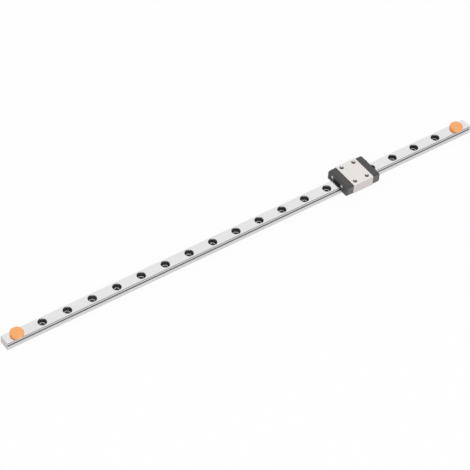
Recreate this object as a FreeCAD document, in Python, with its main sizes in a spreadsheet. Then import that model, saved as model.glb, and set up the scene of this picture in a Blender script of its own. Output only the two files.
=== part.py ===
"""Miniature linear guide: a profiled steel rail, a carriage running on two rows of balls, and two end plugs.

X runs along the rail, Y across it and Z up. The origin is the middle of the rail's base.
All sizes are millimetres.
"""
import FreeCAD
import Part
import Sketcher
import math
import os

from FreeCAD import Placement, Rotation, Vector

# Driving dimensions: name, value, meaning
SIZES = [
    ("rail_length", 300, "rail from end to end"),
    ("rail_width", 7, "rail across its ground sides"),
    ("rail_height", 4.8, "rail from base to top"),
    ("rail_top_chamfer", 0.35, "bevel of the rail's two top edges"),
    ("rail_base_chamfer", 0.25, "bevel of the rail's two bottom edges"),
    ("hole_pitch", 15, "bolt hole spacing along the rail"),
    ("hole_end_margin", 5, "least distance from a rail end to the first bolt hole"),
    ("bolt_hole_diameter", 2.4, "through hole for an M2 screw"),
    ("counterbore_diameter", 4.2, "seat for the screw head"),
    ("counterbore_depth", 2.3, "seat depth below the rail's top"),
    ("ball_diameter", 1.191, "bearing ball"),
    ("ball_height", 3.25, "ball centres above the rail's base"),
    ("ball_clearance", 0.03, "room between a ball and the four flanks round it"),
    ("arch_offset", 0.025, "how far each flank's centre is moved past the ball's centre"),
    ("carriage_x", 70.8, "carriage centre along the rail at rest"),
    ("block_length", 13.2, "steel block along the rail"),
    ("block_width", 17, "steel block across the rail"),
    ("block_lift", 1.5, "rail base to the underside of the block"),
    ("block_top_chamfer", 0.2, "bevel of the block's top edges"),
    ("block_base_chamfer", 0.25, "bevel of the block's bottom edges"),
    ("side_gap", 0.3, "room between the rail's side and the block"),
    ("roof_gap", 0.3, "room between the rail's top and the block"),
    ("block_crown", 2.9, "steel between that room and the block's top"),
    ("tap_pitch_along", 8, "tapped hole spacing along the rail"),
    ("tap_pitch_across", 12, "tapped hole spacing across the rail"),
    ("tap_diameter", 1.6, "core of an M2 thread"),
    ("tap_depth", 2.5, "full depth of a tapped hole"),
    ("tap_mouth", 0.45, "countersink of a tapped hole"),
    ("return_distance", 2.3, "from the loaded balls across to the return bore"),
    ("return_clearance", 0.08, "room round a returning ball"),
    ("cap_length", 3.7, "end cap along the rail"),
    ("cap_side_step", 0.15, "cap side inside the block's side"),
    ("cap_top_step", 0.2, "cap top below the block's top"),
    ("cap_base_step", 0.5, "cap underside above the block's underside"),
    ("cap_chamfer", 0.5, "bevel of the cap's two top edges"),
    ("cap_rail_gap", 0.4, "room between the cap and the rail"),
    ("port_diameter", 0.8, "grease port in the cap's end"),
    ("port_margin", 0.1, "seal plate left between the port's hole and the rim bevel"),
    ("port_depth", 1.5, "depth of the grease port"),
    ("seal_thickness", 0.95, "end seal plate"),
    ("seal_step", 0.1, "seal outline inside the cap's, and room round the grease port"),
    ("seal_rim", 0.45, "bevel along the top of the seal's outer face"),
    ("seal_gap", 0.15, "room between the seal and the rail"),
    ("recess_depth", 0.35, "wiper's recess in the seal's outer face"),
    ("recess_rise", 1.1, "wiper's recess above the seal's opening"),
    ("recess_margin", 0.35, "seal face left between the wiper's recess and a screw head"),
    ("screw_inset", 4.2, "cap screws in from the cap's sides"),
    ("screw_drop", 1.5, "cap screws below the cap's top"),
    ("screw_diameter", 1.2, "cap screw thread"),
    ("screw_clearance", 0.04, "room round the screw in its hole"),
    ("screw_grip", 1.8, "length of screw inside the block"),
    ("screw_head_diameter", 1.8, "cap screw head"),
    ("screw_head_height", 0.5, "head from its seat to its crown"),
    ("plug_head_diameter", 7.4, "head of an end plug"),
    ("plug_head_height", 2, "head above the rail's top"),
    ("plug_head_bevel", 0.6, "bevelled upper edge of the head"),
    ("plug_fit", 0.04, "room between a plug's stem and the counterbore"),
    ("plug_stem_length", 2.1, "stem inside the counterbore"),
]

# Places worked out from the driving dimensions
RAIL_SIDE = "Sizes.rail_width / 2"
BLOCK_WALL = f"({RAIL_SIDE} + Sizes.side_gap)"
BLOCK_ROOF = "(Sizes.rail_height + Sizes.roof_gap)"
BLOCK_TOP = f"({BLOCK_ROOF} + Sizes.block_crown)"
BLOCK_SIDE = "Sizes.block_width / 2"
BLOCK_END = "Sizes.block_length / 2"
BALL_RADIUS = "Sizes.ball_diameter / 2"
BALL_ACROSS = f"({RAIL_SIDE} + Sizes.side_gap / 2)"
RETURN_ACROSS = f"({BALL_ACROSS} + Sizes.return_distance)"
RETURN_RADIUS = f"({BALL_RADIUS} + Sizes.return_clearance)"
FLANK_RADIUS = f"({BALL_RADIUS} + Sizes.ball_clearance + Sizes.arch_offset * sqrt(2))"
FLANK_REACH = f"(sqrt({FLANK_RADIUS}^2 - Sizes.arch_offset^2) - Sizes.arch_offset)"
FLANK_RISE = (f"(sqrt({FLANK_RADIUS}^2 - (Sizes.side_gap / 2 + Sizes.arch_offset)^2)"
              " - Sizes.arch_offset)")
RAIL_CUSP = f"({BALL_ACROSS} - {FLANK_REACH})"
BLOCK_CUSP = f"({BALL_ACROSS} + {FLANK_REACH})"
HOLE_COUNT = "(floor((Sizes.rail_length - 2 * Sizes.hole_end_margin) / Sizes.hole_pitch) + 1)"
HOLE_SPAN = f"(({HOLE_COUNT} - 1) * Sizes.hole_pitch)"
CAP_TOP = f"({BLOCK_TOP} - Sizes.cap_top_step)"
CAP_BASE = "(Sizes.block_lift + Sizes.cap_base_step)"
CAP_SIDE = f"({BLOCK_SIDE} - Sizes.cap_side_step)"
CAP_WALL = f"({RAIL_SIDE} + Sizes.cap_rail_gap)"
CAP_ROOF = "(Sizes.rail_height + Sizes.cap_rail_gap)"
CAP_FACE = f"({BLOCK_END} + Sizes.cap_length)"
SEAL_FACE = f"({CAP_FACE} + Sizes.seal_thickness)"
SEAL_WALL = f"({RAIL_SIDE} + Sizes.seal_gap)"
SEAL_ROOF = "(Sizes.rail_height + Sizes.seal_gap)"
SEAL_SIDE = f"({CAP_SIDE} - Sizes.seal_step)"
SEAL_TOP = f"({CAP_TOP} - Sizes.seal_step)"
SEAL_BASE = f"({CAP_BASE} + Sizes.seal_step)"
PORT_HOLE = "(Sizes.port_diameter / 2 + Sizes.seal_step)"
PORT_UP = f"({SEAL_TOP} - Sizes.seal_rim - Sizes.port_margin - {PORT_HOLE})"
SCREW_ACROSS = f"({CAP_SIDE} - Sizes.screw_inset)"
SCREW_UP = f"({CAP_TOP} - Sizes.screw_drop)"
SCREW_HOLE = "(Sizes.screw_diameter / 2 + Sizes.screw_clearance)"
RECESS_SIDE = f"({SCREW_ACROSS} - Sizes.screw_head_diameter / 2 - Sizes.recess_margin)"
RECESS_TOP = f"({SEAL_ROOF} + Sizes.recess_rise)"

# The two ends and the two sides: name, sign along X or Y
ENDS = [("left", -1), ("right", 1)]
SIDES = [("front", -1), ("back", 1)]

# How far cutting profiles run past the surface that they open
OVERCUT = 1.0

document = FreeCAD.newDocument("LinearGuide")
sheet = document.addObject("Spreadsheet::Sheet", "Sizes")


def fill_sheet():
    """Write every driving dimension to its own named cell."""
    for row, (name, value, meaning) in enumerate(SIZES, start=1):
        sheet.set(f"A{row}", name)
        sheet.set(f"B{row}", str(value))
        sheet.set(f"C{row}", meaning)
        sheet.setAlias(f"B{row}", name)
    document.recompute()


def measure(expression):
    """The present value of an expression on the sheet."""
    return float(sheet.evalExpression(expression))


def origin_feature(body, role):
    """A body's own origin plane or axis."""
    return next(feature for feature in body.Origin.OriginFeatures if feature.Role == role)


def new_body(label):
    """An empty body that carries the piece's name."""
    body = document.addObject("PartDesign::Body", label)
    body.Label = label
    return body


def new_sketch(body, name, plane, offset=("0", "0", "0")):
    """A sketch on one of the body's origin planes, moved by offset in the sketch's own axes."""
    sketch = body.newObject("Sketcher::SketchObject", name)
    sketch.AttachmentSupport = [(origin_feature(body, plane), "")]
    sketch.MapMode = "FlatFace"
    for axis, distance in zip("xyz", offset):
        sketch.setExpression(f"AttachmentOffset.Base.{axis}", distance)
    return sketch


def place(body, x="0", y="0", z="0", turned=False):
    """Put a finished body in its place, turned half round about Z at the left end."""
    if turned:
        body.Placement = Placement(Vector(0, 0, 0), Rotation(Vector(0, 0, 1), 180))
    for axis, distance in zip("xyz", (x, y, z)):
        body.setExpression(f"Placement.Base.{axis}", distance)


def pin_point(sketch, geometry, point, across, up):
    """Fix a point of the sketch at two expressions, or on an axis where one of them is zero."""
    for kind, expression, axis in (("DistanceX", across, -2), ("DistanceY", up, -1)):
        if expression == "0":
            sketch.addConstraint(Sketcher.Constraint("PointOnObject", geometry, point, axis))
            continue
        value = measure(expression)
        index = sketch.addConstraint(Sketcher.Constraint(kind, -1, 1, geometry, point, value))
        sketch.setExpression(f"Constraints[{index}]", expression)


def draw_circle(sketch, across, up, radius):
    """A circle whose centre and radius follow expressions."""
    centre = Vector(measure(across), measure(up), 0)
    circle = sketch.addGeometry(Part.Circle(centre, Vector(0, 0, 1), measure(radius)))
    pin_point(sketch, circle, 3, across, up)
    index = sketch.addConstraint(Sketcher.Constraint("Radius", circle, measure(radius)))
    sketch.setExpression(f"Constraints[{index}]", radius)


def arc_between(start, finish, radius):
    """The minor arc from start to finish that bulges to the left of the way it runs."""
    chord = finish - start
    left = Vector(-chord.y, chord.x, 0).normalize()
    inset = math.sqrt(max(radius ** 2 - chord.Length ** 2 / 4, 0))
    centre = (start + finish) / 2 - left * inset
    angles = [math.atan2(end.y - centre.y, end.x - centre.x) for end in (finish, start)]
    return Part.ArcOfCircle(Part.Circle(centre, Vector(0, 0, 1), radius), *angles)


def draw_outline(sketch, corners):
    """A closed outline through corners (across, up), each with a radius where an arc leaves it."""
    points = [Vector(measure(corner[0]), measure(corner[1]), 0) for corner in corners]
    edges = []
    for number, corner in enumerate(corners):
        start = points[number]
        finish = points[(number + 1) % len(points)]
        if len(corner) == 2:
            geometry = sketch.addGeometry(Part.LineSegment(start, finish))
            edges.append((geometry, 1, 2))
            continue
        geometry = sketch.addGeometry(arc_between(start, finish, measure(corner[2])))
        edges.append((geometry, 2, 1))
        index = sketch.addConstraint(Sketcher.Constraint("Radius", geometry, measure(corner[2])))
        sketch.setExpression(f"Constraints[{index}]", corner[2])
    for number, (geometry, first, last) in enumerate(edges):
        following, following_first, _ = edges[(number + 1) % len(edges)]
        joint = Sketcher.Constraint("Coincident", geometry, last, following, following_first)
        sketch.addConstraint(joint)
        pin_point(sketch, geometry, first, *corners[number][:2])


def add_pad(body, name, sketch, length, symmetric=False):
    """Extrude a sketch along its normal, or both ways."""
    feature = body.newObject("PartDesign::Pad", name)
    feature.Profile = sketch
    feature.SideType = "Symmetric" if symmetric else "One side"
    feature.setExpression("Length", length)
    document.recompute()
    return feature


def add_revolution(body, name, sketch, axis):
    """Turn a sketch once round one of its own axes."""
    feature = body.newObject("PartDesign::Revolution", name)
    feature.Profile = sketch
    feature.ReferenceAxis = (sketch, [axis])
    document.recompute()
    return feature


def check_cut(body, name, volume_before):
    """Stop where a cut has taken nothing away."""
    if body.Shape.Volume > volume_before - 1e-6:
        raise RuntimeError(f"{body.Label}: {name} cuts nothing")


def add_pocket(body, name, sketch, depth, reverse=False):
    """Cut a sketch into the body against its normal, or along it."""
    volume = body.Shape.Volume
    feature = body.newObject("PartDesign::Pocket", name)
    feature.Profile = sketch
    feature.Reversed = reverse
    feature.setExpression("Length", depth)
    document.recompute()
    check_cut(body, name, volume)
    return feature


def add_groove(body, name, sketch, axis, angle=360, reverse=False):
    """Cut away what a sketch sweeps when it turns round one of its own axes."""
    volume = body.Shape.Volume
    feature = body.newObject("PartDesign::Groove", name)
    feature.Profile = sketch
    feature.ReferenceAxis = (sketch, [axis])
    feature.Angle = angle
    feature.Reversed = reverse
    document.recompute()
    check_cut(body, name, volume)
    return feature


def flipped(expression, sign):
    """An expression taken to the side that sign names."""
    return expression if sign > 0 else f"-({expression})"


def raceway(wall, cusp, side, way):
    """Corners of a pointed-arch ball groove in a wall on one side, drawn upwards or downwards."""
    return [
        (flipped(wall, side), f"Sizes.ball_height + {flipped(FLANK_RISE, -way)}", FLANK_RADIUS),
        (flipped(cusp, side), "Sizes.ball_height", FLANK_RADIUS),
        (flipped(wall, side), f"Sizes.ball_height + {flipped(FLANK_RISE, way)}"),
    ]


def rail_section():
    """Corners of the rail's section, anticlockwise from its base."""
    foot = f"{RAIL_SIDE} - Sizes.rail_base_chamfer"
    shoulder = "Sizes.rail_height - Sizes.rail_top_chamfer"
    crown = f"{RAIL_SIDE} - Sizes.rail_top_chamfer"
    return [
        (flipped(foot, -1), "0"),
        (foot, "0"),
        (RAIL_SIDE, "Sizes.rail_base_chamfer"),
        *raceway(RAIL_SIDE, RAIL_CUSP, 1, 1),
        (RAIL_SIDE, shoulder),
        (crown, "Sizes.rail_height"),
        (flipped(crown, -1), "Sizes.rail_height"),
        (flipped(RAIL_SIDE, -1), shoulder),
        *raceway(RAIL_SIDE, RAIL_CUSP, -1, -1),
        (flipped(RAIL_SIDE, -1), "Sizes.rail_base_chamfer"),
    ]


def make_rail():
    """The rail: one ground bar with a row of counterbored bolt holes."""
    body = new_body("rail")
    section = new_sketch(body, "RailSection", "YZ_Plane")
    draw_outline(section, rail_section())
    add_pad(body, "RailBar", section, "Sizes.rail_length", symmetric=True)

    hole = new_sketch(body, "BoltHoleProfile", "XZ_Plane", (f"-{HOLE_SPAN} / 2", "0", "0"))
    bore = "Sizes.bolt_hole_diameter / 2"
    seat = "Sizes.counterbore_diameter / 2"
    ledge = "Sizes.rail_height - Sizes.counterbore_depth"
    draw_outline(hole, [
        ("0", f"-{OVERCUT}"),
        (bore, f"-{OVERCUT}"),
        (bore, ledge),
        (seat, ledge),
        (seat, f"Sizes.rail_height + {OVERCUT}"),
        ("0", f"Sizes.rail_height + {OVERCUT}"),
    ])
    first_hole = add_groove(body, "FirstBoltHole", hole, "V_Axis")

    volume = body.Shape.Volume
    row = body.newObject("PartDesign::LinearPattern", "BoltHoles")
    row.Originals = [first_hole]
    row.Direction = (origin_feature(body, "X_Axis"), [""])
    row.setExpression("Length", HOLE_SPAN)
    row.setExpression("Occurrences", HOLE_COUNT)
    body.Tip = row
    document.recompute()
    check_cut(body, "BoltHoles", volume)
    return body


def block_section():
    """Corners of the block's saddle section, anticlockwise from its right foot."""
    base = "Sizes.block_lift"
    heel = f"{BLOCK_SIDE} - Sizes.block_base_chamfer"
    toe = f"{BLOCK_WALL} + Sizes.block_base_chamfer"
    ankle = f"{base} + Sizes.block_base_chamfer"
    shoulder = f"{BLOCK_TOP} - Sizes.block_top_chamfer"
    crown = f"{BLOCK_SIDE} - Sizes.block_top_chamfer"
    return [
        (heel, base),
        (BLOCK_SIDE, ankle),
        (BLOCK_SIDE, shoulder),
        (crown, BLOCK_TOP),
        (flipped(crown, -1), BLOCK_TOP),
        (flipped(BLOCK_SIDE, -1), shoulder),
        (flipped(BLOCK_SIDE, -1), ankle),
        (flipped(heel, -1), base),
        (flipped(toe, -1), base),
        (flipped(BLOCK_WALL, -1), ankle),
        *raceway(BLOCK_WALL, BLOCK_CUSP, -1, 1),
        (flipped(BLOCK_WALL, -1), BLOCK_ROOF),
        (BLOCK_WALL, BLOCK_ROOF),
        *raceway(BLOCK_WALL, BLOCK_CUSP, 1, -1),
        (BLOCK_WALL, ankle),
        (toe, base),
    ]


def make_block():
    """The carriage block: a steel saddle with raceways, ball returns and tapped holes."""
    body = new_body("carriage_block")
    section = new_sketch(body, "BlockSection", "YZ_Plane")
    draw_outline(section, block_section())
    for _, side in SIDES:
        draw_circle(section, flipped(RETURN_ACROSS, side), "Sizes.ball_height", RETURN_RADIUS)
    add_pad(body, "BlockSaddle", section, "Sizes.block_length", symmetric=True)

    core = "Sizes.tap_diameter / 2"
    mouth = f"{core} + Sizes.tap_mouth"
    for end_name, end in ENDS:
        for side_name, side in SIDES:
            along = flipped("Sizes.tap_pitch_along / 2", end)
            across = flipped("Sizes.tap_pitch_across / 2", -side)
            name = f"TappedHole_{end_name}_{side_name}"
            profile = new_sketch(body, f"{name}_Profile", "XZ_Plane", (along, "0", across))
            draw_outline(profile, [
                ("0", f"{BLOCK_TOP} - Sizes.tap_depth"),
                (core, f"{BLOCK_TOP} - Sizes.tap_depth"),
                (core, f"{BLOCK_TOP} - Sizes.tap_mouth"),
                (mouth, BLOCK_TOP),
                (mouth, f"{BLOCK_TOP} + {OVERCUT}"),
                ("0", f"{BLOCK_TOP} + {OVERCUT}"),
            ])
            add_groove(body, name, profile, "V_Axis")

    for end_name, end in ENDS:
        holes = new_sketch(body, f"ScrewHoles_{end_name}", "YZ_Plane", ("0", "0", flipped(BLOCK_END, end)))
        for _, side in SIDES:
            draw_circle(holes, flipped(SCREW_ACROSS, side), SCREW_UP, SCREW_HOLE)
        depth = "Sizes.screw_grip + Sizes.screw_clearance"
        add_pocket(body, f"ScrewPocket_{end_name}", holes, depth, reverse=end < 0)
    place(body, x="Sizes.carriage_x")
    return body


def cap_section():
    """Corners of an end cap's section, anticlockwise from its right foot."""
    shoulder = f"{CAP_TOP} - Sizes.cap_chamfer"
    crown = f"{CAP_SIDE} - Sizes.cap_chamfer"
    return [
        (CAP_SIDE, CAP_BASE),
        (CAP_SIDE, shoulder),
        (crown, CAP_TOP),
        (flipped(crown, -1), CAP_TOP),
        (flipped(CAP_SIDE, -1), shoulder),
        (flipped(CAP_SIDE, -1), CAP_BASE),
        (flipped(CAP_WALL, -1), CAP_BASE),
        (flipped(CAP_WALL, -1), CAP_ROOF),
        (CAP_WALL, CAP_ROOF),
        (CAP_WALL, CAP_BASE),
    ]


def make_end_cap(name, end):
    """A moulded end cap: it turns the balls round and carries the seal."""
    body = new_body(f"end_cap_{name}")
    section = new_sketch(body, "CapSection", "YZ_Plane")
    draw_outline(section, cap_section())
    add_pad(body, "CapBody", section, "Sizes.cap_length")

    for side_name, side in SIDES:
        pivot = flipped(f"({BALL_ACROSS} + Sizes.return_distance / 2)", side)
        turn = new_sketch(body, f"TurnProfile_{side_name}", "YZ_Plane", (pivot, "0", "0"))
        inner = f"Sizes.return_distance / 2 - {RETURN_RADIUS}"
        outer = f"Sizes.return_distance / 2 + {RETURN_RADIUS}"
        low = f"Sizes.ball_height - {RETURN_RADIUS}"
        high = f"Sizes.ball_height + {RETURN_RADIUS}"
        draw_outline(turn, [(inner, low), (outer, low), (outer, high), (inner, high)])
        add_groove(body, f"BallTurn_{side_name}", turn, "V_Axis", angle=180, reverse=True)

    screws = new_sketch(body, "ScrewHoles", "YZ_Plane")
    for _, side in SIDES:
        draw_circle(screws, flipped(SCREW_ACROSS, side), SCREW_UP, SCREW_HOLE)
    add_pocket(body, "ScrewPocket", screws, "Sizes.cap_length", reverse=True)

    port = new_sketch(body, "GreasePort", "YZ_Plane", ("0", "0", "Sizes.cap_length"))
    draw_circle(port, "0", PORT_UP, "Sizes.port_diameter / 2")
    add_pocket(body, "GreasePocket", port, "Sizes.port_depth")
    place(body, x=f"Sizes.carriage_x + {flipped(BLOCK_END, end)}", turned=end < 0)
    return body


def seal_wall(side, way):
    """Corners of the seal's opening on one side, with the tongue that wipes the ball groove."""
    edge = flipped(SEAL_WALL, side)
    spread = f"({FLANK_RISE} - Sizes.seal_gap)"
    tip = flipped(f"{RAIL_CUSP} + Sizes.seal_gap", side)
    return [
        (edge, f"Sizes.ball_height + {flipped(spread, -way)}"),
        (tip, "Sizes.ball_height"),
        (edge, f"Sizes.ball_height + {flipped(spread, way)}"),
    ]


def seal_section():
    """Corners of the end seal's plate, anticlockwise from its right foot."""
    shoulder = f"{SEAL_TOP} - Sizes.cap_chamfer"
    crown = f"{SEAL_SIDE} - Sizes.cap_chamfer"
    return [
        (SEAL_SIDE, SEAL_BASE),
        (SEAL_SIDE, shoulder),
        (crown, SEAL_TOP),
        (flipped(crown, -1), SEAL_TOP),
        (flipped(SEAL_SIDE, -1), shoulder),
        (flipped(SEAL_SIDE, -1), SEAL_BASE),
        (flipped(SEAL_WALL, -1), SEAL_BASE),
        *seal_wall(-1, 1),
        (flipped(SEAL_WALL, -1), SEAL_ROOF),
        (SEAL_WALL, SEAL_ROOF),
        *seal_wall(1, -1),
        (SEAL_WALL, SEAL_BASE),
    ]


def top_rim(shape):
    """Names of the top edges of the seal's outer face."""
    face = measure("Sizes.seal_thickness")
    top = measure(f"{SEAL_TOP} - Sizes.cap_chamfer")
    names = []
    for number, edge in enumerate(shape.Edges, start=1):
        box = edge.BoundBox
        if box.XMin > face - 1e-6 and box.Center.z > top:
            names.append(f"Edge{number}")
    return names


def make_end_seal(name, end):
    """A rubber end seal: a plate with tongues in the ball grooves and a recess over its wiping edge."""
    body = new_body(f"end_seal_{name}")
    section = new_sketch(body, "SealSection", "YZ_Plane")
    draw_outline(section, seal_section())
    draw_circle(section, "0", PORT_UP, PORT_HOLE)
    for _, side in SIDES:
        draw_circle(section, flipped(SCREW_ACROSS, side), SCREW_UP, SCREW_HOLE)
    plate = add_pad(body, "SealPlate", section, "Sizes.seal_thickness")

    bevel = body.newObject("PartDesign::Chamfer", "SealRim")
    bevel.Base = (plate, top_rim(plate.Shape))
    bevel.setExpression("Size", "Sizes.seal_rim")
    document.recompute()

    recess = new_sketch(body, "RecessOutline", "YZ_Plane", ("0", "0", "Sizes.seal_thickness"))
    draw_outline(recess, [
        (flipped(RECESS_SIDE, -1), "Sizes.rail_height"),
        (RECESS_SIDE, "Sizes.rail_height"),
        (RECESS_SIDE, RECESS_TOP),
        (flipped(RECESS_SIDE, -1), RECESS_TOP),
    ])
    add_pocket(body, "WiperRecess", recess, "Sizes.recess_depth")
    place(body, x=f"Sizes.carriage_x + {flipped(CAP_FACE, end)}", turned=end < 0)
    return body


def make_cap_screw(name, end, side_name, side):
    """A pan head screw, its head seated on the seal and its end inside the block."""
    body = new_body(f"cap_screw_{name}_{side_name}")
    profile = new_sketch(body, "ScrewProfile", "XY_Plane")
    shank = "Sizes.screw_diameter / 2"
    head = "Sizes.screw_head_diameter / 2"
    tip = "-(Sizes.seal_thickness + Sizes.cap_length + Sizes.screw_grip)"
    draw_outline(profile, [
        (tip, "0"),
        (tip, shank),
        ("0", shank),
        ("0", head),
        ("Sizes.screw_head_height", head),
        ("Sizes.screw_head_height", "0"),
    ])
    add_revolution(body, "ScrewTurned", profile, "H_Axis")
    place(
        body,
        x=f"Sizes.carriage_x + {flipped(SEAL_FACE, end)}",
        y=flipped(SCREW_ACROSS, side),
        z=SCREW_UP,
        turned=end < 0,
    )
    return body


def make_ball_row(name, side):
    """The loaded balls of one side as one round core between the raceways of rail and block."""
    row = document.addObject("Part::Cylinder", f"ball_row_{name}")
    row.Label = f"ball_row_{name}"
    row.Placement = Placement(Vector(0, 0, 0), Rotation(Vector(0, 1, 0), 90))
    row.setExpression("Radius", BALL_RADIUS)
    row.setExpression("Height", "Sizes.block_length")
    row.setExpression("Placement.Base.x", f"Sizes.carriage_x - {BLOCK_END}")
    row.setExpression("Placement.Base.y", flipped(BALL_ACROSS, side))
    row.setExpression("Placement.Base.z", "Sizes.ball_height")
    return row


def make_end_plug(name, end):
    """A rubber plug: a round head on the rail's top and a stem in the last counterbore."""
    body = new_body(f"end_plug_{name}")
    profile = new_sketch(body, "PlugProfile", "XZ_Plane")
    head = "Sizes.plug_head_diameter / 2"
    stem = "(Sizes.counterbore_diameter / 2 - Sizes.plug_fit)"
    draw_outline(profile, [
        ("0", "Sizes.plug_head_height"),
        (f"{head} - Sizes.plug_head_bevel", "Sizes.plug_head_height"),
        (head, "Sizes.plug_head_height - Sizes.plug_head_bevel"),
        (head, "0"),
        (stem, "0"),
        (stem, "-Sizes.plug_stem_length"),
        ("0", "-Sizes.plug_stem_length"),
    ])
    add_revolution(body, "PlugTurned", profile, "V_Axis")
    place(body, x=flipped(f"{HOLE_SPAN} / 2", end), z="Sizes.rail_height")
    return body


def check_and_export(pieces):
    """Refuse a failed or broken piece, then write each one to a file of its own."""
    document.recompute()
    for item in document.Objects:
        if "Invalid" in item.State or "Error" in item.State:
            raise RuntimeError(f"{item.Label} failed: {item.State}")
    for piece in pieces:
        if piece.Shape.isNull() or not piece.Shape.isValid():
            raise RuntimeError(f"{piece.Label} has no valid shape")
    os.makedirs("parts", exist_ok=True)
    for piece in pieces:
        piece.Shape.exportStep(f"parts/{piece.Label}.step")
        print(piece.Label, len(piece.Shape.Solids), round(piece.Shape.Volume, 3))


def main():
    """Build every piece and write it."""
    fill_sheet()
    pieces = [make_rail(), make_block()]
    for name, end in ENDS:
        pieces.append(make_end_cap(name, end))
        pieces.append(make_end_seal(name, end))
        pieces.append(make_end_plug(name, end))
        for side_name, side in SIDES:
            pieces.append(make_cap_screw(name, end, side_name, side))
    for side_name, side in SIDES:
        pieces.append(make_ball_row(side_name, side))
    check_and_export(pieces)


main()
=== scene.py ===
"""Looks of a miniature linear guide: ground rail, ball carriage with black caps, orange end plugs."""

import math

import bmesh
import bpy
from mathutils import Matrix, Vector


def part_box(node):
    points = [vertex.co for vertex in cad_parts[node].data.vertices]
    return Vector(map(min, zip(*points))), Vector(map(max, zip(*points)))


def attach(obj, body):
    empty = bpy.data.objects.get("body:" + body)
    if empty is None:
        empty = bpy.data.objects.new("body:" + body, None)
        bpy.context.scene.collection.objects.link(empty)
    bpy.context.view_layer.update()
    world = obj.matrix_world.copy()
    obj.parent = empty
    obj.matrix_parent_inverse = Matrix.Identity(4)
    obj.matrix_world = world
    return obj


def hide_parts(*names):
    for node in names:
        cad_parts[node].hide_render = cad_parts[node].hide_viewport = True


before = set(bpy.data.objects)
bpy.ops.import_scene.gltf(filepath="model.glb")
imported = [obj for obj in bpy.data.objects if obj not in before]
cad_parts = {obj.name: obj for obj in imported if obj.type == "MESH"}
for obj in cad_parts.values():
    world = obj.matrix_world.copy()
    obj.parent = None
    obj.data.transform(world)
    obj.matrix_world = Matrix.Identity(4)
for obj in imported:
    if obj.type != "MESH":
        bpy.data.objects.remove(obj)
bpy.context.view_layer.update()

MM = 0.001

# Rail, metres
RAIL_LOW, RAIL_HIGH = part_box("rail")
RAIL_TOP = RAIL_HIGH.z
HOLE_PITCH = 15.0 * MM
HOLE_COUNT = 20
END_MARGIN = 7.5 * MM
SEAT_RADIUS = 2.1 * MM
SEAT_DEPTH = 2.3 * MM
SEAT_BREAK = 0.4 * MM
# Radii of the ledge's painted highlight; past the outer one the ledge's corner keeps the walls' dark
# colour as painted shade
LEDGE_INNER = 1.25 * MM
LEDGE_OUTER = 1.8 * MM
RACEWAY_HEIGHT = 3.25 * MM
RACEWAY_HALF = 0.6 * MM
MOUTH_STEPS = 40
MOUTH_MARGIN = 0.01 * MM

# Added to x, this makes it a whole number of pitches at the axis of each hole
HOLE_SHIFT = (2 * HOLE_COUNT + 1) * HOLE_PITCH / 2

# Carriage block and its tapped holes, metres
BLOCK_LOW, BLOCK_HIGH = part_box("carriage_block")
CARRIAGE_X = (BLOCK_LOW.x + BLOCK_HIGH.x) / 2
TAP_ALONG = 8.0 * MM
TAP_ACROSS = 12.0 * MM
TAP_RADIUS = 1.1 * MM
TAP_MOUTH = 1.4 * MM
TAP_CONE = 0.85 * MM
TAP_REACH = 4.6 * MM
THREAD_CORE = 0.8 * MM
THREAD_INSET = 0.037 * MM
THREAD_DEPTH = 0.2 * MM
THREAD_HALF_WIDTH = 0.165 * MM
THREAD_PITCH = 0.4 * MM
THREAD_TURNS = 5
THREAD_START = 2.3 * MM
THREAD_STEPS = 29
THREAD_SIDES = 4
# Width of the painted highlight along the block's top edges
EDGE_BAND = 0.27 * MM

# Caps and seals, metres
CAP_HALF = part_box("end_cap_left")[1].y
SEAL_FACE = 11.25 * MM
WIPER_HALF = 2.92 * MM
WIPER_TOP = 6.07 * MM
POCKET_RADIUS = 1.12 * MM
POCKET_DEPTH = 0.45 * MM
POCKET_STEPS = 40

# Cap screws, metres, with the dome's steps of inset and rise in millimetres
SCREW_RIM = 0.26 * MM
SCREW_NECK = 0.32 * MM
SCREW_TIP = 0.3 * MM
SCREW_TIP_INSET = 0.18 * MM
# Radius of the screw head past which its rim is coloured dark as painted shade
SCREW_SHADE_RADIUS = 0.76 * MM
SCREW_DOME = ((0.1, 0.1), (0.14, 0.07), (0.2, 0.05), (0.22, 0.03))
RECESS_SIZE = (0.7 * MM, 1.05 * MM, 0.21 * MM)
RECESS_TAPER = (1.0, 0.45, 0.6)
RECESS_ANGLES = (math.radians(25), math.radians(115))
FASTENER_STEPS = 32

# Hollow rivets, metres, with the dome's steps of inset and rise in millimetres
RIVET_ACROSS = 5.85 * MM
RIVET_HEIGHT = 4.85 * MM
RIVET_RADIUS = 1.0 * MM
RIVET_BORE = 0.55 * MM
RIVET_TAPER = 0.05 * MM
RIVET_PROUD = 0.12 * MM
RIVET_DOME = ((0.1, 0.07), (0.16, 0.03))
RIVET_SHOULDER = sum(inset for inset, _ in RIVET_DOME) * MM
RIVET_RISE = sum(rise for _, rise in RIVET_DOME) * MM

# End plugs, metres, with the dome's steps of inset and rise in millimetres
PLUG_WALL = 1.78 * MM
PLUG_FIT = 0.04 * MM
PLUG_STEPS = 56
PLUG_DOME = ((0.5, 0.06), (0.7, 0.06), (0.8, 0.05), (0.4, 0.02))
RIM_ROUND = 0.75 * MM
RIM_STEPS = 6
RIM_MARGIN = 0.01 * MM
GATE_INSET = 0.06 * MM
GATE_DEPTH = 0.08 * MM

# Balls and the wires that keep them, metres
BALL_RADIUS = 0.5955 * MM
BALL_COUNT = 11
BALL_SEGMENTS = 16
BALL_RINGS = 10
WIRE_RADIUS = 0.1 * MM
WIRE_RISE = 0.72 * MM
WIRE_STEPS = 10

# Edge rounding of the finished pieces, metres
STEEL_EDGE = 0.06 * MM
STEEL_EDGE_STEPS = 2
PLASTIC_EDGE = 0.16 * MM
RUBBER_EDGE = 0.1 * MM
SOFT_EDGE_STEPS = 3
LONG_EDGE = 0.4 * MM
SKIN_DEPTH = 0.3 * MM

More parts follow.
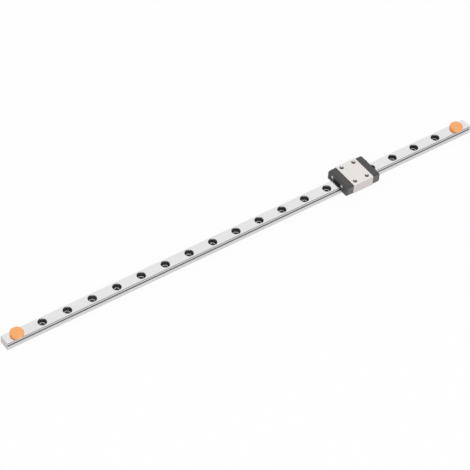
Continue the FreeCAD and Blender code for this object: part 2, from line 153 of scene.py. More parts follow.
# Joining and telling apart of faces: metres, square metres, angles and the cosines of angles
MERGE_DISTANCE = 0.001 * MM
FLAT_ANGLE = math.radians(1.0)
SHARP_ANGLE = math.radians(25.0)
DOME_ANGLE = math.radians(40.0)
FACING = 0.9
CROWN_FACING = 0.999
CROWN_AREA = 1e-6

# How far the masks of the finishes reach past a surface or stay inside it, metres
MASK_MARGIN = 0.02 * MM
LEDGE_HALF = 0.03 * MM
SIDE_SKIN = 0.05 * MM

# Noise in the finishes: features to the metre along X, Y and Z
RAIL_GRINDING = (18.0, 5200.0, 5200.0)
RAIL_PATCHES = (35.0, 160.0, 160.0)
BLOCK_GRINDING = (5200.0, 60.0, 5200.0)
BLOCK_PATCHES = (140.0, 140.0, 140.0)
BLOCK_CLOUDS = (150.0, 150.0, 150.0)
MOULD_GRAIN = (5000.0, 5000.0, 5000.0)
MOULD_FLOW = (260.0, 260.0, 260.0)
SEAL_GRAIN = (3600.0, 3600.0, 3600.0)
SEAL_DUST = (420.0, 420.0, 420.0)
PLUG_GRAIN = (2600.0, 2600.0, 2600.0)
PLUG_CLOUDS = (230.0, 230.0, 230.0)
PLATING_GRAIN = (2500.0, 2500.0, 2500.0)
BALL_FILM = (700.0, 700.0, 700.0)

# Where the rosy clouds of the block start and where they are full, as levels of their noise
CLOUD_START = 0.5
CLOUD_FULL = 0.66

# Depth of the finishes' relief, metres
POLISHED_RELIEF = 0.01 * MM
FINE_RELIEF = 0.02 * MM
SOFT_RELIEF = 0.03 * MM

# Colours that aren't plain greys
CREAM_DARK = (0.69, 0.67, 0.65, 1.0)
CREAM_PALE = (0.80, 0.78, 0.755, 1.0)
ROSE_DARK = (0.71, 0.66, 0.655, 1.0)
ROSE_PALE = (0.81, 0.755, 0.75, 1.0)
# The darker rose, half blended into the block's sides as painted shade
ROSE_PAINTED_SHADE = (0.66, 0.60, 0.595, 1.0)
ORANGE_DEEP = (1.0, 0.375, 0.094, 1.0)
ORANGE_PALE = (1.0, 0.435, 0.124, 1.0)

# The photograph's camera: direction, roll and distance to the middle of the rail's base
IMAGE_SIZE = 470
VIEW_AZIMUTH = math.radians(38.50)
VIEW_ELEVATION = math.radians(45.64)
VIEW_ROLL = math.radians(4.452)
VIEW_DISTANCE = 1231.19 * MM
VIEW_ASIDE = 6.3672 * MM
VIEW_ABOVE = 1.6422 * MM
FOCAL_PIXELS = 2322.88
SENSOR_WIDTH = 36.0

# Studio: the floor, the room's bright side with its two levels, and the soft box
FLOOR_SIZE = 12.0
FLOOR_DROP = 0.02 * MM
FLOOR_SEEN = 0.93
FLOOR_MIRRORED = 0.64
BRIGHT_SIDE = (0.435, 0.547, 0.715)
BRIGHT_START = 0.45
BRIGHT_FULL = 0.75
ROOM_DARK = 0.47
ROOM_BRIGHT = 1.10
LAMP_PLACE = (-1.05, -1.9, 1.15)
LAMP_SIZE = (3.7, 2.6)
LAMP_POWER = 33.5

# Rows of like pieces: name, sign along X or Y
ENDS = (("left", -1), ("right", 1))
SIDES = (("front", -1), ("back", 1))

# The turn that lays a primitive's axis along X
ALONG_X = (0.0, math.pi / 2, 0.0)


class Value:
    """An output socket; arithmetic on it adds Math nodes to the same shader."""

    def __init__(self, shader, socket):
        self.shader = shader
        self.socket = socket

    def __add__(self, other):
        return self.shader.math("ADD", self, other)

    def __radd__(self, other):
        return self.shader.math("ADD", other, self)

    def __sub__(self, other):
        return self.shader.math("SUBTRACT", self, other)

    def __rsub__(self, other):
        return self.shader.math("SUBTRACT", other, self)

    def __mul__(self, other):
        return self.shader.math("MULTIPLY", self, other)

    def __rmul__(self, other):
        return self.shader.math("MULTIPLY", other, self)

    def __lt__(self, other):
        return self.shader.math("LESS_THAN", self, other)

    def __gt__(self, other):
        return self.shader.math("GREATER_THAN", self, other)

    def __abs__(self):
        return self.shader.math("ABSOLUTE", self)


class Shader:
    """The node tree of one material or of the world."""

    def __init__(self, owner):
        owner.use_nodes = True
        self.owner = owner
        self.tree = owner.node_tree
        self.tree.nodes.clear()

    def node(self, kind, settings=None, inputs=None, output=0):
        """Add a node, set its settings, then the values or links of its sockets, and give one output."""
        made = self.tree.nodes.new(kind)
        for name, value in (settings or {}).items():
            setattr(made, name, value)
        for name, value in (inputs or {}).items():
            if isinstance(value, Value):
                self.tree.links.new(value.socket, made.inputs[name])
            else:
                made.inputs[name].default_value = value
        return Value(self, made.outputs[output])

    def math(self, operation, first, second=0.0):
        return self.node("ShaderNodeMath", {"operation": operation}, {0: first, 1: second})

    def distance(self, first, second):
        """The distance from an axis, from its two parts."""
        return self.math("SQRT", first * first + second * second)

    def either(self, first, second):
        """A mask of all that one of two masks covers."""
        return self.math("MAXIMUM", first, second)

    def place(self):
        """The object's own coordinates, whole and in three parts."""
        whole = self.node("ShaderNodeTexCoord", output="Object")
        parts = [self.node("ShaderNodeSeparateXYZ", None, {0: whole}, axis) for axis in "XYZ"]
        return whole, *parts

    def noise(self, whole, scale, detail=3.0, roughness=0.5):
        """Noise stretched by a scale along each axis, in features to the metre."""
        stretched = self.node("ShaderNodeMapping", None, {"Vector": whole, "Scale": scale})
        return self.node(
            "ShaderNodeTexNoise",
            None,
            {"Vector": stretched, "Scale": 1.0, "Detail": detail, "Roughness": roughness},
        )

    def blend(self, share, first, second):
        """A colour between two colours."""
        return self.node(
            "ShaderNodeMix",
            {"data_type": "RGBA"},
            {"Factor": share, 6: first, 7: second},
            output=2,
        )

    def bump(self, height, strength, distance):
        return self.node(
            "ShaderNodeBump",
            None,
            {"Height": height, "Strength": strength, "Distance": distance},
        )

    def principled(self, **inputs):
        """A Principled surface; a double underscore in a name stands for a space."""
        named = {key.replace("__", " "): value for key, value in inputs.items()}
        return self.node("ShaderNodeBsdfPrincipled", None, named)

    def finish(self, surface, kind="ShaderNodeOutputMaterial"):
        """Link a surface to the output, and give the finished material or world."""
        output = self.tree.nodes.new(kind)
        self.tree.links.new(surface.socket, output.inputs["Surface"])
        return self.owner


def new_material(name):
    """The shader of a new material."""
    return Shader(bpy.data.materials.new(name))


def grey(level, warmth=0.0):
    """A grey, warmed by taking a share out of its green and twice that out of its blue."""
    return (level, level * (1 - warmth), level * (1 - 2 * warmth), 1.0)


def make_rail_steel():
    """Rail steel: ground bright along its length, with sawn ends and counterbored holes; painted shade
    in the raceways and the holes' mouths, and a painted highlight on the holes' ledges.
    """
    shader = new_material("rail_ground_steel")
    whole, x, y, z = shader.place()
    streaks = shader.noise(whole, RAIL_GRINDING, detail=4.0, roughness=0.6)
    patches = shader.noise(whole, RAIL_PATCHES, detail=2.0)
    tone = streaks * 0.6 + patches * 0.4

    along = shader.math("PINGPONG", x + HOLE_SHIFT, HOLE_PITCH / 2)
    from_axis = shader.distance(along, y)
    in_seat = (from_axis < SEAT_RADIUS + MASK_MARGIN) * (z < RAIL_TOP - SEAT_BREAK) * (z > MASK_MARGIN)
    at_ledge = abs(z - (RAIL_TOP - SEAT_DEPTH)) < LEDGE_HALF
    ledge = at_ledge * (from_axis > LEDGE_INNER) * (from_axis < LEDGE_OUTER)
    wall = in_seat * (1 - ledge)
    near_mouth = (z < RAIL_TOP - MASK_MARGIN) * (z > RAIL_TOP - SEAT_BREAK - MASK_MARGIN)
    mouth = (from_axis < SEAT_RADIUS + SEAT_BREAK - MASK_MARGIN) * near_mouth * (1 - in_seat)
    sawn = abs(x) > RAIL_HIGH.x - STEEL_EDGE
    raceway = (abs(z - RACEWAY_HEIGHT) < RACEWAY_HALF) * (1 - in_seat) * (1 - sawn)

    ground = shader.blend(tone, grey(0.65), grey(0.785))
    ended = shader.blend(sawn, ground, grey(0.6, 0.012))
    # Painted shade: the raceways are coloured dark for the shade and dark reflection that lie in them
    raceway_painted_shade = shader.blend(raceway, ended, grey(0.25))
    # Painted shade: the break at each counterbore's mouth is coloured dark
    mouth_painted_shade = shader.blend(mouth, raceway_painted_shade, grey(0.16))
    # Painted highlight: the ledges are coloured pale, and made less metallic and rougher, to stand in
    # for their glint
    ledge_painted_highlight = shader.blend(ledge, mouth_painted_shade, grey(0.95))
    return shader.finish(shader.principled(
        Base__Color=shader.blend(wall, ledge_painted_highlight, grey(0.10)),
        Metallic=1.0 - ledge * 0.7,
        Roughness=0.07 + streaks * 0.09 + in_seat * 0.25 + ledge * 0.3 + sawn * 0.28,
        Normal=shader.bump(streaks * (1 - raceway), 0.08, POLISHED_RELIEF),
    ))


def make_block_steel():
    """Carriage steel: finely ground, cream with rosy clouds and rosy sides darkened by painted shade, a
    painted highlight along its top edges, and painted shade in its tapped holes.
    """
    shader = new_material("carriage_ground_steel")
    whole, x, y, z = shader.place()
    streaks = shader.noise(whole, BLOCK_GRINDING, detail=4.0, roughness=0.6)
    patches = shader.noise(whole, BLOCK_PATCHES, detail=2.0)
    tone = streaks * 0.5 + patches * 0.5
    clouds = shader.node(
        "ShaderNodeMapRange",
        None,
        {
            "Value": shader.noise(whole, BLOCK_CLOUDS, detail=1.0),
            "From Min": CLOUD_START,
            "From Max": CLOUD_FULL,
        },
    )

    from_axis = shader.distance(abs(x - CARRIAGE_X) - TAP_ALONG / 2, abs(y) - TAP_ACROSS / 2)
    in_reach = z > BLOCK_HIGH.z - TAP_REACH
    cone = (from_axis < TAP_MOUTH) * (z < BLOCK_HIGH.z - MASK_MARGIN) * in_reach
    bore = (from_axis < TAP_RADIUS) * (z < BLOCK_HIGH.z - TAP_CONE) * in_reach
    edge = (abs(y) > BLOCK_HIGH.y - EDGE_BAND) * (z > BLOCK_HIGH.z - EDGE_BAND)
    side = abs(y) > BLOCK_HIGH.y - SIDE_SKIN

    cream = shader.blend(tone, CREAM_DARK, CREAM_PALE)
    rose = shader.blend(tone, ROSE_DARK, ROSE_PALE)
    tinted = shader.blend(shader.either(clouds, side), cream, rose)
    # Painted shade: the rose sides are half blended towards a darker rose
    ground = shader.blend(side * 0.5, tinted, ROSE_PAINTED_SHADE)
    # Painted highlight: a pale, rougher band along the top edges
    edge_painted_highlight = shader.blend(edge, ground, grey(0.95, 0.03))
    # Painted shade in the tapped holes: the cone is coloured darker and the bore dark
    mouth_painted_shade = shader.blend(cone, edge_painted_highlight, grey(0.44))
    return shader.finish(shader.principled(
        Base__Color=shader.blend(bore, mouth_painted_shade, grey(0.18)),
        Metallic=1.0,
        Roughness=0.34 + streaks * 0.12 + edge * 0.3 - cone * 0.26,
        Normal=shader.bump(streaks, 0.1, FINE_RELIEF),
    ))


def make_cap_plastic():
    """Black moulded plastic with the fine grain of an eroded mould, duller on its sides, which are
    coloured lighter as painted light.
    """
    shader = new_material("cap_moulded_plastic")
    whole, _, y, _ = shader.place()
    grain = shader.noise(whole, MOULD_GRAIN, detail=2.0)
    flow = shader.noise(whole, MOULD_FLOW, detail=3.0)
    side = abs(y) > CAP_HALF - SIDE_SKIN
    skin = shader.blend(flow, grey(0.046), grey(0.062))
    # Painted light: the sides are coloured lighter than the skin, for the light that falls on them
    side_painted_light = shader.blend(flow, grey(0.104), grey(0.136))
    return shader.finish(shader.principled(
        Base__Color=shader.blend(side, skin, side_painted_light),
        Roughness=0.36 + flow * 0.12 + grain * 0.08 + side * 0.1,
        Normal=shader.bump(grain, 0.25, FINE_RELIEF),
    ))


def make_rivet_plastic():
    """Dull grey plastic of the hollow rivets, coloured near black down the bore as painted shade."""
    shader = new_material("rivet_dull_plastic")
    whole, x, y, z = shader.place()
    grain = shader.noise(whole, MOULD_GRAIN, detail=2.0)
    from_axis = shader.distance(abs(y) - RIVET_ACROSS, z - RIVET_HEIGHT)
    below_rim = abs(x - CARRIAGE_X) < SEAL_FACE + RIVET_PROUD + RIVET_RISE - MASK_MARGIN
    # Painted shade: the bore is coloured near black
    hollow = (from_axis < RIVET_BORE + MASK_MARGIN) * below_rim
    ring = shader.blend(grain, grey(0.11), grey(0.14))
    return shader.finish(shader.principled(
        Base__Color=shader.blend(hollow, ring, grey(0.006)),
        Roughness=0.7 + grain * 0.15,
        Specular__IOR__Level=0.12,
        Normal=shader.bump(grain, 0.2, FINE_RELIEF),
    ))


def make_seal_rubber():
    """Black seal plate, duller than the caps, with a darker wiper, and rivet pockets coloured dark as
    painted shade.
    """
    shader = new_material("seal_black_rubber")
    whole, _, y, z = shader.place()
    grain = shader.noise(whole, SEAL_GRAIN, detail=3.0)
    dust = shader.noise(whole, SEAL_DUST, detail=4.0)
    wiper = (abs(y) < WIPER_HALF) * (z < WIPER_TOP)
    # Painted shade: the rivet pockets are coloured as dark as the wiper
    pocket = shader.distance(abs(y) - RIVET_ACROSS, z - RIVET_HEIGHT) < POCKET_RADIUS
    plate = shader.blend(dust, grey(0.060), grey(0.080))
    return shader.finish(shader.principled(
        Base__Color=shader.blend(shader.either(wiper, pocket), plate, grey(0.022)),
        Roughness=0.5 + grain * 0.2,
        Normal=shader.bump(grain, 0.2, FINE_RELIEF),
    ))


def make_plug_rubber():
    """Orange moulded rubber with a soft satin skin."""
    shader = new_material("plug_orange_rubber")
    whole, *_ = shader.place()
    grain = shader.noise(whole, PLUG_GRAIN, detail=3.0)
    cloud = shader.noise(whole, PLUG_CLOUDS, detail=2.0)
    return shader.finish(shader.principled(
        Base__Color=shader.blend(cloud, ORANGE_DEEP, ORANGE_PALE),
        Roughness=0.36 + grain * 0.14,
        Specular__IOR__Level=0.85,
        Normal=shader.bump(grain, 0.15, SOFT_RELIEF),
    ))


def make_screw_steel():
    """Bright plated screw steel, with painted shade at the rim of the head."""
    shader = new_material("screw_plated_steel")
    whole, _, y, z = shader.place()
    grain = shader.noise(whole, PLATING_GRAIN, detail=3.0)
    low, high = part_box("cap_screw_right_front")
    from_axis = shader.distance(abs(y) + (low.y + high.y) / 2, z - (low.z + high.z) / 2)
    plated = shader.blend(grain, grey(0.68, 0.01), grey(0.80, 0.01))
    return shader.finish(shader.principled(
        # Painted shade: the head is coloured dark towards its rim
        Base__Color=shader.blend(from_axis > SCREW_SHADE_RADIUS, plated, grey(0.22)),
        Metallic=1.0,
        Roughness=0.22 + grain * 0.12,
    ))


def make_ball_steel():
    """Polished bearing balls."""
    shader = new_material("ball_polished_steel")
    whole, *_ = shader.place()
    film = shader.noise(whole, BALL_FILM, detail=2.0)
    return shader.finish(shader.principled(
        Base__Color=grey(0.82),
        Metallic=1.0,
        Roughness=0.05 + film * 0.07,
    ))


def select_only(piece):
    """Deselect everything, then select one object and make it active."""
    bpy.ops.object.select_all(action="DESELECT")
    piece.select_set(True)
    bpy.context.view_layer.objects.active = piece


def edit(piece):
    select_only(piece)
    bpy.ops.object.mode_set(mode="EDIT")


def stop_editing():
    bpy.ops.object.mode_set(mode="OBJECT")


def pick(piece, kind, test):
    """In edit mode, select just the faces or edges that pass a test."""
    bpy.ops.mesh.select_mode(type=kind)
    bpy.ops.mesh.select_all(action="DESELECT")
    shape = bmesh.from_edit_mesh(piece.data)
    for item in shape.faces if kind == "FACE" else shape.edges:
        if test(item):
            item.select_set(True)
    bmesh.update_edit_mesh(piece.data)


def facing(*way):
    """A test for the faces that look along a direction."""
    return lambda face: face.normal.dot(Vector(way)) > FACING


def raise_dome(steps):
    """Inset and lift the picked face by each step in turn, in millimetres."""
    for inset, rise in steps:
        bpy.ops.mesh.inset(thickness=inset * MM, depth=rise * MM)


def apply_modifier(piece, kind, **settings):
    """Add a modifier with its settings and apply it."""
    select_only(piece)
    modifier = piece.modifiers.new(kind.lower(), kind)
    for name, value in settings.items():
        setattr(modifier, name, value)
    bpy.ops.object.modifier_apply(modifier=modifier.name)


def repeat_along(piece, count, spacing):
    """Repeat a shape in a row along X, in one mesh."""
    apply_modifier(
        piece,
        "ARRAY",
        count=count,
        use_relative_offset=False,
        use_constant_offset=True,
        constant_offset_displace=(spacing, 0.0, 0.0),
    )


def settle(piece, name):
    """Name a new primitive and put its place into its mesh."""
    select_only(piece)
    piece.name = name
    piece.data.name = name
    bpy.ops.object.transform_apply(location=True, rotation=True, scale=True)
    return piece


def smooth(piece, angle=SHARP_ANGLE):
    """Smooth the shading of rounded parts and keep large faces flat."""
    select_only(piece)
    bpy.ops.object.shade_smooth_by_angle(angle=angle)
    apply_modifier(piece, "WEIGHTED_NORMAL", keep_sharp=True)


def add_primitive(kind, name, **settings):
    """A new primitive at its size and place, with everything else deselected."""
    bpy.ops.object.select_all(action="DESELECT")
    getattr(bpy.ops.mesh, f"primitive_{kind}_add")(**settings)
    return settle(bpy.context.object, name)


def copy_piece(piece, name):
    """A copy of a finished piece with a mesh of its own."""
    twin = bpy.data.objects.new(name, piece.data.copy())
    twin.data.name = name
    bpy.context.scene.collection.objects.link(twin)
    return twin


def shift(piece, way):
    """Move a whole mesh inside its object."""
    edit(piece)
    bpy.ops.mesh.select_all(action="SELECT")
    bpy.ops.transform.translate(value=way)
    stop_editing()


def turn(piece, angle, axis, centre):
    """Turn a whole mesh inside its object."""
    edit(piece)
    bpy.ops.mesh.select_all(action="SELECT")
    bpy.ops.transform.rotate(value=angle, orient_axis=axis, center_override=centre)
    stop_editing()


def cut(piece, cutter):
    """Take a cutter's shape out of a piece and throw the cutter away."""
    apply_modifier(piece, "BOOLEAN", object=cutter, operation="DIFFERENCE", solver="EXACT")
    bpy.data.objects.remove(cutter, do_unlink=True)
    edit(piece)
    bpy.ops.mesh.select_all(action="SELECT")
    bpy.ops.mesh.remove_doubles(threshold=MERGE_DISTANCE)
    stop_editing()


def clothe(piece, material, body, slot, *nodes):
    """Give a finished piece its material and its body, and hide the nodes that it stands for. The slot
    is not used.
    """
    piece.data.materials.clear()
    piece.data.materials.append(material)
    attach(piece, body)
    if nodes:
        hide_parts(*nodes)


def merged_copy(node, name):
    """A copy of a CAD node whose loose triangles are joined into flat faces."""
    piece = copy_piece(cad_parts[node], name)
    edit(piece)
    bpy.ops.mesh.select_all(action="SELECT")
    bpy.ops.mesh.customdata_custom_splitnormals_clear()
    bpy.ops.mesh.remove_doubles(threshold=MERGE_DISTANCE)
    bpy.ops.mesh.dissolve_limited(angle_limit=FLAT_ANGLE)
    stop_editing()
    return piece


def four_corners(first, stem, across):
    """A right front piece and its copies at the other corners, the left pair rotated half round."""
    pieces = {"right_front": first, "right_back": copy_piece(first, f"{stem}_right_back")}
    shift(pieces["right_back"], (0.0, across, 0.0))
    for corner, source in (("left_front", "right_back"), ("left_back", "right_front")):
        pieces[corner] = copy_piece(pieces[source], f"{stem}_{corner}")
        turn(pieces[corner], math.pi, "Z", (CARRIAGE_X, 0.0, 0.0))
    return pieces


def round_edges(piece, width, segments, test=None):
    """Round the long sharp edges of a piece by a small width, or those that also pass a test."""
    def is_sharp(edge):
        if len(edge.link_faces) != 2 or edge.calc_length() < LONG_EDGE:
            return False
        return edge.calc_face_angle() > SHARP_ANGLE and (test is None or test(edge))

    edit(piece)
    pick(piece, "EDGE", is_sharp)
    bpy.ops.mesh.bevel(offset=width, segments=segments, affect="EDGES", clamp_overlap=False)
    stop_editing()


def make_mouth_cutter():
    """A row of cones, one for the break at each counterbore's mouth."""
    rise = 2 * SEAT_BREAK
    cutter = add_primitive(
        "cone",
        "mouth_cutter",
        vertices=MOUTH_STEPS,
        radius1=SEAT_RADIUS + SEAT_BREAK - rise / 2 - MOUTH_MARGIN,
        radius2=SEAT_RADIUS + SEAT_BREAK + rise / 2 - MOUTH_MARGIN,
        depth=rise,
        location=(RAIL_LOW.x + END_MARGIN, 0.0, RAIL_TOP - MOUTH_MARGIN),
    )
    repeat_along(cutter, HOLE_COUNT, HOLE_PITCH)
    return cutter


def make_rail(material):
    """The rail with softened edges and a break at each counterbore's mouth."""
    piece = merged_copy("rail", "ground_rail")
    round_edges(piece, STEEL_EDGE, STEEL_EDGE_STEPS)
    cut(piece, make_mouth_cutter())
    smooth(piece)
    clothe(piece, material, "rail", "rail_steel", "rail")


def make_thread_cutter(along, across):
    """A coil with the section of the thread's groove, inside one tapped hole."""
    cutter = add_primitive(
        "circle",
        "thread_cutter",
        vertices=THREAD_SIDES,
        radius=THREAD_DEPTH,
        rotation=(math.pi / 2, 0.0, 0.0),
        location=(THREAD_CORE - THREAD_INSET, 0.0, 0.0),
    )
    edit(cutter)
    bpy.ops.mesh.select_all(action="SELECT")
    bpy.ops.transform.resize(value=(1.0, 1.0, THREAD_HALF_WIDTH / THREAD_DEPTH))
    stop_editing()
    apply_modifier(
        cutter,
        "SCREW",
        axis="Z",
        angle=2 * math.pi,
        screw_offset=THREAD_PITCH,
        iterations=THREAD_TURNS,
        steps=THREAD_STEPS,
        render_steps=THREAD_STEPS,
    )
    edit(cutter)
    bpy.ops.mesh.select_all(action="SELECT")
    bpy.ops.mesh.fill_holes(sides=THREAD_SIDES)
    bpy.ops.mesh.select_all(action="SELECT")
    bpy.ops.mesh.normals_make_consistent(inside=False)
    bpy.ops.transform.translate(value=(CARRIAGE_X + along, across, BLOCK_HIGH.z - THREAD_START))
    stop_editing()
    return cutter


def on_block_skin(edge):
    """Whether an edge is on the block's top or sides."""
    return all(
        corner.co.z > BLOCK_HIGH.z - SKIN_DEPTH or abs(corner.co.y) > BLOCK_HIGH.y - SKIN_DEPTH
        for corner in edge.verts
    )


def make_block(material):
    """The block with softened edges and a cut thread in each tapped hole."""
    piece = merged_copy("carriage_block", "ground_block")
    round_edges(piece, STEEL_EDGE, STEEL_EDGE_STEPS, on_block_skin)
    for _, end in ENDS:
        for _, side in SIDES:
            cut(piece, make_thread_cutter(end * TAP_ALONG / 2, side * TAP_ACROSS / 2))
    smooth(piece)
    clothe(piece, material, "carriage", "block_steel", "carriage_block")


def make_cap(end, material):
    """An end cap with softened edges."""
    piece = merged_copy(f"end_cap_{end}", f"moulded_cap_{end}")
    round_edges(piece, PLASTIC_EDGE, SOFT_EDGE_STEPS)
    smooth(piece)
    clothe(piece, material, "carriage", "cap_plastic", f"end_cap_{end}")


def make_seal(end_name, end, material):
    """A seal with softened edges and a round pocket for each rivet."""
    piece = merged_copy(f"end_seal_{end_name}", f"wiper_seal_{end_name}")
    round_edges(piece, RUBBER_EDGE, SOFT_EDGE_STEPS)
    for _, side in SIDES:
        pocket = add_primitive(
            "cylinder",
            "pocket_cutter",
            vertices=POCKET_STEPS,
            radius=POCKET_RADIUS,
            depth=2 * POCKET_DEPTH,
            rotation=ALONG_X,
            location=(CARRIAGE_X + end * SEAL_FACE, side * RIVET_ACROSS, RIVET_HEIGHT),
        )
        cut(piece, pocket)
    smooth(piece)
    clothe(piece, material, "carriage", "seal_rubber", f"end_seal_{end_name}")


def make_cap_screw():
    """A pan head screw with a cross recess, at the right end's front hole."""
    low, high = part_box("cap_screw_right_front")
    seat = CARRIAGE_X + SEAL_FACE
    across = (low.y + high.y) / 2
    up = (low.z + high.z) / 2
    piece = add_primitive(
        "cylinder",
        "pan_screw_right_front",
        vertices=FASTENER_STEPS,
        radius=(high.y - low.y) / 2,
        depth=SCREW_RIM,
        rotation=ALONG_X,
        location=(seat + SCREW_RIM / 2, across, up),
    )
    shank = low.x + SCREW_TIP - seat
    edit(piece)
    pick(piece, "FACE", facing(-1, 0, 0))
    bpy.ops.mesh.inset(thickness=SCREW_NECK)
    bpy.ops.mesh.extrude_region_move(TRANSFORM_OT_translate={"value": (shank, 0.0, 0.0)})
    bpy.ops.mesh.inset(thickness=SCREW_TIP_INSET, depth=SCREW_TIP)
    pick(piece, "FACE", facing(1, 0, 0))
    raise_dome(SCREW_DOME)
    stop_editing()
    for angle in RECESS_ANGLES:
        recess = add_primitive(
            "cube",
            "recess_cutter",
            size=1.0,
            location=(high.x, across, up),
            scale=RECESS_SIZE,
        )
        edit(recess)
        pick(recess, "FACE", facing(-1, 0, 0))
        bpy.ops.transform.resize(value=RECESS_TAPER)
        stop_editing()
        turn(recess, angle, "X", (high.x, across, up))
        cut(piece, recess)
    return piece


def make_cap_screws(material):
    """Four like screws, two at each end of the carriage."""
    low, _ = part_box("cap_screw_right_front")
    back_low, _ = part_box("cap_screw_right_back")
    screws = four_corners(make_cap_screw(), "pan_screw", back_low.y - low.y)
    for corner, piece in screws.items():
        smooth(piece, DOME_ANGLE)
        clothe(piece, material, "carriage", "screw_steel", f"cap_screw_{corner}")


def make_rivets(material):
    """Four hollow rivets that hold the seals to the caps, each in its pocket."""
    middle = CARRIAGE_X + SEAL_FACE + (RIVET_PROUD - POCKET_DEPTH) / 2
    first = add_primitive(
        "cylinder",
        "seal_rivet_right_front",
        vertices=FASTENER_STEPS,
        radius=RIVET_RADIUS,
        depth=RIVET_PROUD + POCKET_DEPTH,
        rotation=ALONG_X,
        location=(middle, -RIVET_ACROSS, RIVET_HEIGHT),
    )
    edit(first)
    pick(first, "FACE", facing(1, 0, 0))
    raise_dome(RIVET_DOME)
    bpy.ops.mesh.inset(thickness=RIVET_RADIUS - RIVET_SHOULDER - RIVET_BORE)
    bpy.ops.mesh.inset(thickness=RIVET_TAPER, depth=-POCKET_DEPTH)
    stop_editing()
    rivets = four_corners(first, "seal_rivet", 2 * RIVET_ACROSS)
    for piece in rivets.values():
        smooth(piece, DOME_ANGLE)
        clothe(piece, material, "carriage", "cap_plastic")


def on_plug_rim(edge):
    """Whether an edge goes round the top of a plug's wall."""
    return min(corner.co.z for corner in edge.verts) > RAIL_TOP + PLUG_WALL - RIM_MARGIN


def is_crown(face):
    """Whether a face is the flat top of a plug, inside its round edge."""
    return face.normal.z > CROWN_FACING and face.calc_area() > CROWN_AREA


def make_plugs(material):
    """Two moulded plugs: a crowned head with a round edge and a gate mark, and a stem in the hole."""
    low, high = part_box("end_plug_right")
    radius = (high.y - low.y) / 2
    first = add_primitive(
        "cylinder",
        "stop_plug_right",
        vertices=PLUG_STEPS,
        radius=radius,
        depth=PLUG_WALL,
        location=((low.x + high.x) / 2, 0.0, RAIL_TOP + PLUG_WALL / 2),
    )
    edit(first)
    pick(first, "FACE", facing(0, 0, -1))
    bpy.ops.mesh.inset(thickness=radius - SEAT_RADIUS + PLUG_FIT)
    bpy.ops.mesh.extrude_region_move(TRANSFORM_OT_translate={"value": (0.0, 0.0, low.z - RAIL_TOP)})
    pick(first, "EDGE", on_plug_rim)
    bpy.ops.mesh.bevel(offset=RIM_ROUND, segments=RIM_STEPS, profile=0.5, affect="EDGES")
    pick(first, "FACE", is_crown)
    raise_dome(PLUG_DOME)
    bpy.ops.mesh.inset(thickness=GATE_INSET, depth=-GATE_DEPTH)
    stop_editing()
    plugs = {"right": first, "left": copy_piece(first, "stop_plug_left")}
    shift(plugs["left"], (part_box("end_plug_left")[0].x - low.x, 0.0, 0.0))
    for end, piece in plugs.items():
        smooth(piece, DOME_ANGLE)
        clothe(piece, material, "rail", "plug_rubber", f"end_plug_{end}")


def make_ball_row(side, material):
    """The loaded balls of one side, with the two wires that keep them in the block."""
    low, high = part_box(f"ball_row_{side}")
    across = (low.y + high.y) / 2
    spacing = (high.x - low.x) / BALL_COUNT
    row = add_primitive(
        "uv_sphere",
        f"bearing_balls_{side}",
        segments=BALL_SEGMENTS,
        ring_count=BALL_RINGS,
        radius=BALL_RADIUS,
        location=(low.x + spacing / 2, across, RACEWAY_HEIGHT),
    )
    repeat_along(row, BALL_COUNT, spacing)
    wires = []
    for way in (-1, 1):
        wires.append(add_primitive(
            "cylinder",
            "keeper_wire",
            vertices=WIRE_STEPS,
            radius=WIRE_RADIUS,
            depth=high.x - low.x,
            rotation=ALONG_X,
            location=((low.x + high.x) / 2, across, RACEWAY_HEIGHT + way * WIRE_RISE),
        ))
    select_only(row)
    for wire in wires:
        wire.select_set(True)
    bpy.ops.object.join()
    smooth(row, DOME_ANGLE)
    clothe(row, material, "carriage", "ball_steel", f"ball_row_{side}")


def make_floor():
    """A pale floor that shows white to the camera and pale to mirrors, and keeps a soft shadow."""
    floor = add_primitive("plane", "floor", size=FLOOR_SIZE, location=(0.0, 0.0, -FLOOR_DROP))
    shader = new_material("studio_floor")
    paths = ["Is Camera Ray", "Is Glossy Ray", "Is Transmission Ray"]
    camera, glossy, through = [shader.node("ShaderNodeLightPath", output=path) for path in paths]
    shown = camera * FLOOR_SEEN + glossy * FLOOR_MIRRORED + through * FLOOR_SEEN
    seen = shader.math("MINIMUM", shown, 1.0)
    paper = shader.principled(Base__Color=grey(0.97), Roughness=0.9)
    white = shader.node("ShaderNodeEmission", None, {"Color": grey(1.0), "Strength": 1.0})
    mixed = shader.node("ShaderNodeMixShader", None, {0: seen, 1: paper, 2: white})
    floor.data.materials.append(shader.finish(mixed))


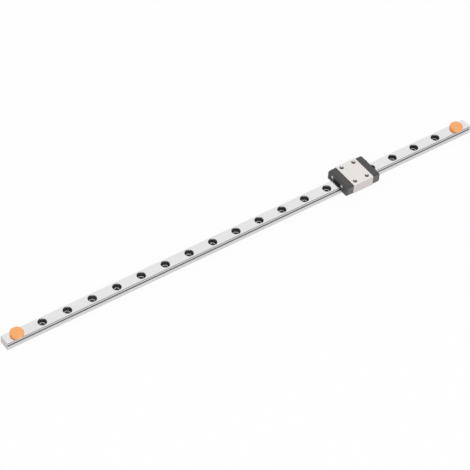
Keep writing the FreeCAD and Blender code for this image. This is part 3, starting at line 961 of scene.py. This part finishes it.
def make_world():
    """A plain studio: brighter above and behind the object, where the tops of the steel look."""
    shader = Shader(bpy.data.worlds.new("studio"))
    aim = shader.node("ShaderNodeTexCoord", output="Generated")
    towards = shader.node(
        "ShaderNodeVectorMath",
        {"operation": "DOT_PRODUCT"},
        {0: aim, 1: BRIGHT_SIDE},
        output="Value",
    )
    level = shader.node(
        "ShaderNodeMapRange",
        {"interpolation_type": "SMOOTHSTEP"},
        {
            "Value": towards,
            "From Min": BRIGHT_START,
            "From Max": BRIGHT_FULL,
            "To Min": ROOM_DARK,
            "To Max": ROOM_BRIGHT,
        },
    )
    camera = shader.node("ShaderNodeLightPath", output="Is Camera Ray")
    room = shader.node("ShaderNodeBackground", None, {"Color": grey(1.0), "Strength": level})
    white = shader.node("ShaderNodeBackground", None, {"Color": grey(1.0), "Strength": 1.0})
    mixed = shader.node("ShaderNodeMixShader", None, {0: camera, 1: room, 2: white})
    bpy.context.scene.world = shader.finish(mixed, "ShaderNodeOutputWorld")


def make_lamp():
    """A wide soft box that faces the object."""
    light = bpy.data.lights.new("key", "AREA")
    light.shape = "RECTANGLE"
    light.size, light.size_y = LAMP_SIZE
    light.energy = LAMP_POWER
    lamp = bpy.data.objects.new("key", light)
    bpy.context.scene.collection.objects.link(lamp)
    lamp.location = LAMP_PLACE
    lamp.rotation_euler = (-Vector(LAMP_PLACE)).to_track_quat("-Z", "Y").to_euler()


def make_camera():
    """The photograph's camera, from its direction, roll and distance."""
    ahead = Vector((
        math.sin(VIEW_AZIMUTH) * math.cos(VIEW_ELEVATION),
        math.cos(VIEW_AZIMUTH) * math.cos(VIEW_ELEVATION),
        -math.sin(VIEW_ELEVATION),
    ))
    level = ahead.cross(Vector((0, 0, 1))).normalized()
    upright = level.cross(ahead)
    right = math.cos(VIEW_ROLL) * level + math.sin(VIEW_ROLL) * upright
    up = math.cos(VIEW_ROLL) * upright - math.sin(VIEW_ROLL) * level
    data = bpy.data.cameras.new("camera")
    data.sensor_width = SENSOR_WIDTH
    data.lens = FOCAL_PIXELS * SENSOR_WIDTH / IMAGE_SIZE
    camera = bpy.data.objects.new("camera", data)
    bpy.context.scene.collection.objects.link(camera)
    camera.matrix_world = Matrix((right, up, -ahead)).transposed().to_4x4()
    camera.location = -(right * VIEW_ASIDE + up * VIEW_ABOVE + ahead * VIEW_DISTANCE)
    bpy.context.scene.camera = camera


def main():
    cap_plastic = make_cap_plastic()
    seal_rubber = make_seal_rubber()
    ball_steel = make_ball_steel()

    make_rail(make_rail_steel())
    make_block(make_block_steel())
    for end_name, end in ENDS:
        make_cap(end_name, cap_plastic)
        make_seal(end_name, end, seal_rubber)
    make_cap_screws(make_screw_steel())
    make_rivets(make_rivet_plastic())
    make_plugs(make_plug_rubber())
    for side_name, _ in SIDES:
        make_ball_row(side_name, ball_steel)

    make_floor()
    make_world()
    make_lamp()
    make_camera()
    bpy.context.scene.view_settings.view_transform = "Standard"


main()
